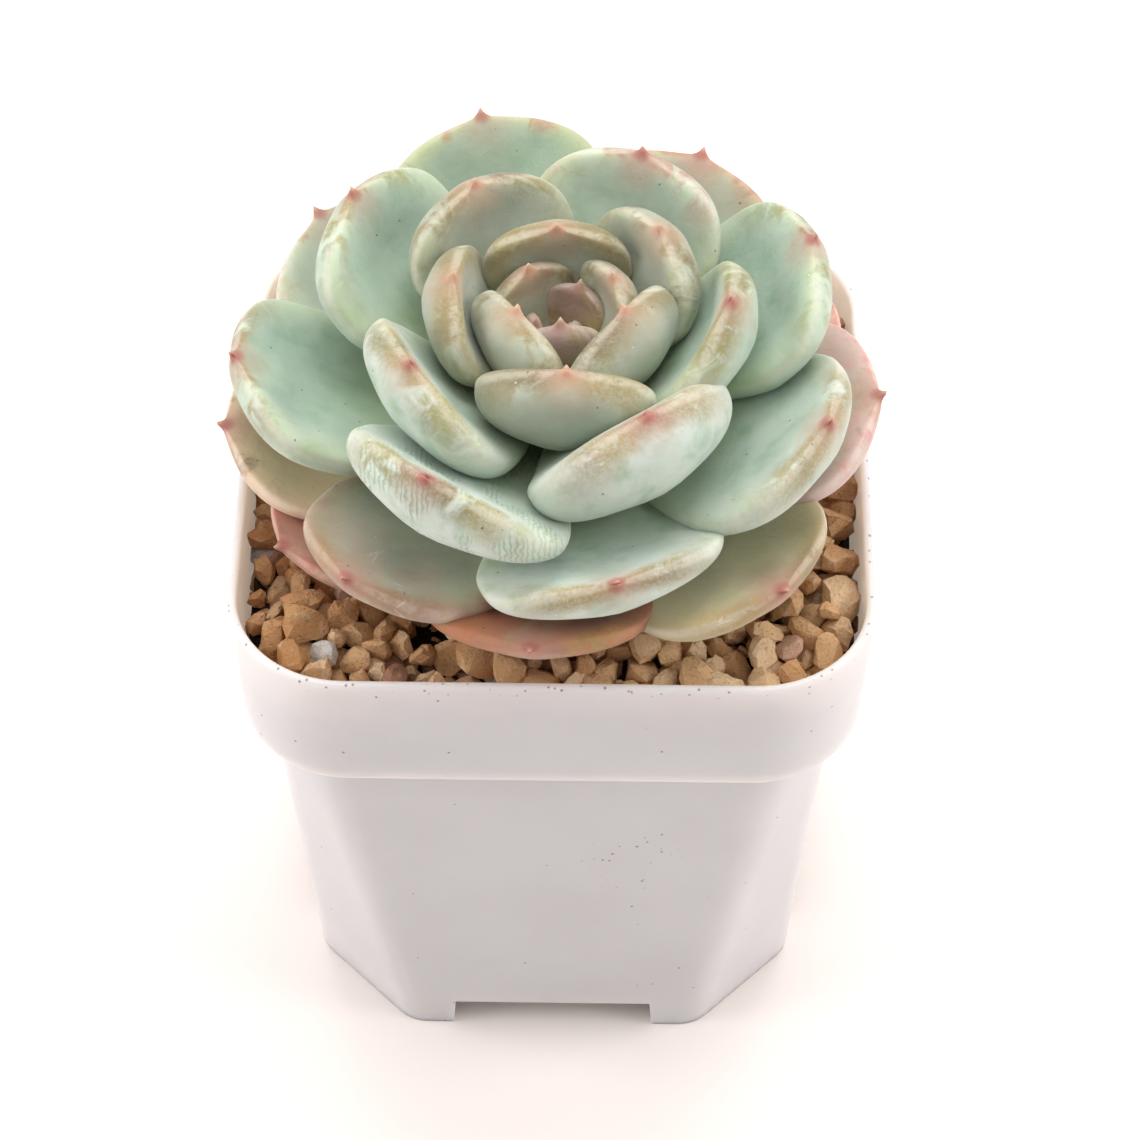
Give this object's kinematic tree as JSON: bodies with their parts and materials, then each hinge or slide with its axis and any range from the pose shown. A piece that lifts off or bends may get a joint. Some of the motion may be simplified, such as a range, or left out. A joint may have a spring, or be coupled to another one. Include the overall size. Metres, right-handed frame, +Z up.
{
  "type": "potted succulent",
  "caption": "Rosette succulent with fleshy pointed leaves, growing through pebble top dressing in a square plastic nursery pot with cut corners and notched feet.",
  "frame": {"origin": "on the ground under the middle of the pot", "axes": "+Z up along the stem, X and Y square to the pot's flat sides"},
  "size_m": [0.0721, 0.0716, 0.1001],
  "materials": {
    "pot_plastic": "white injection-moulded plastic, softly glossy, slightly translucent",
    "soil": "dark damp potting soil, granular and matte",
    "gravel": "tan fired-clay pebbles, dry and matte",
    "stem": "short fleshy stem with corky leaf scars",
    "bud_leaf": "fleshy leaf, dusky mauve under a waxy bloom",
    "inner_leaf": "fleshy leaf, grey-green under a waxy bloom, olive blush near the point",
    "outer_leaf": "fleshy leaf, blue-green under a waxy bloom, yellow-green edge and pink point",
    "old_leaf": "fleshy old leaf, coral and olive, thinly bloomed"
  },
  "bodies": {
    "root": {"pot": "pot_plastic", "potting_soil": "soil", "gravel_top_dressing": "gravel", "stem": "stem", "leaf_01": "bud_leaf", "leaf_02": "bud_leaf", "leaf_03": "bud_leaf", "leaf_04": "bud_leaf", "leaf_05": "bud_leaf", "leaf_06": "bud_leaf", "leaf_07": "inner_leaf", "leaf_08": "inner_leaf", "leaf_09": "inner_leaf", "leaf_10": "inner_leaf", "leaf_11": "inner_leaf", "leaf_12": "inner_leaf", "leaf_13": "inner_leaf", "leaf_14": "inner_leaf", "leaf_15": "outer_leaf", "leaf_16": "outer_leaf", "leaf_17": "outer_leaf", "leaf_18": "outer_leaf", "leaf_19": "outer_leaf", "leaf_20": "outer_leaf", "leaf_21": "outer_leaf", "leaf_22": "outer_leaf", "leaf_23": "outer_leaf", "leaf_24": "outer_leaf", "leaf_25": "outer_leaf", "leaf_26": "outer_leaf", "leaf_27": "outer_leaf", "leaf_28": "outer_leaf", "leaf_29": "outer_leaf", "leaf_30": "outer_leaf", "leaf_31": "old_leaf", "leaf_32": "old_leaf", "leaf_33": "old_leaf", "leaf_34": "old_leaf", "leaf_35": "old_leaf", "leaf_36": "old_leaf"}
  },
  "joints": []
}
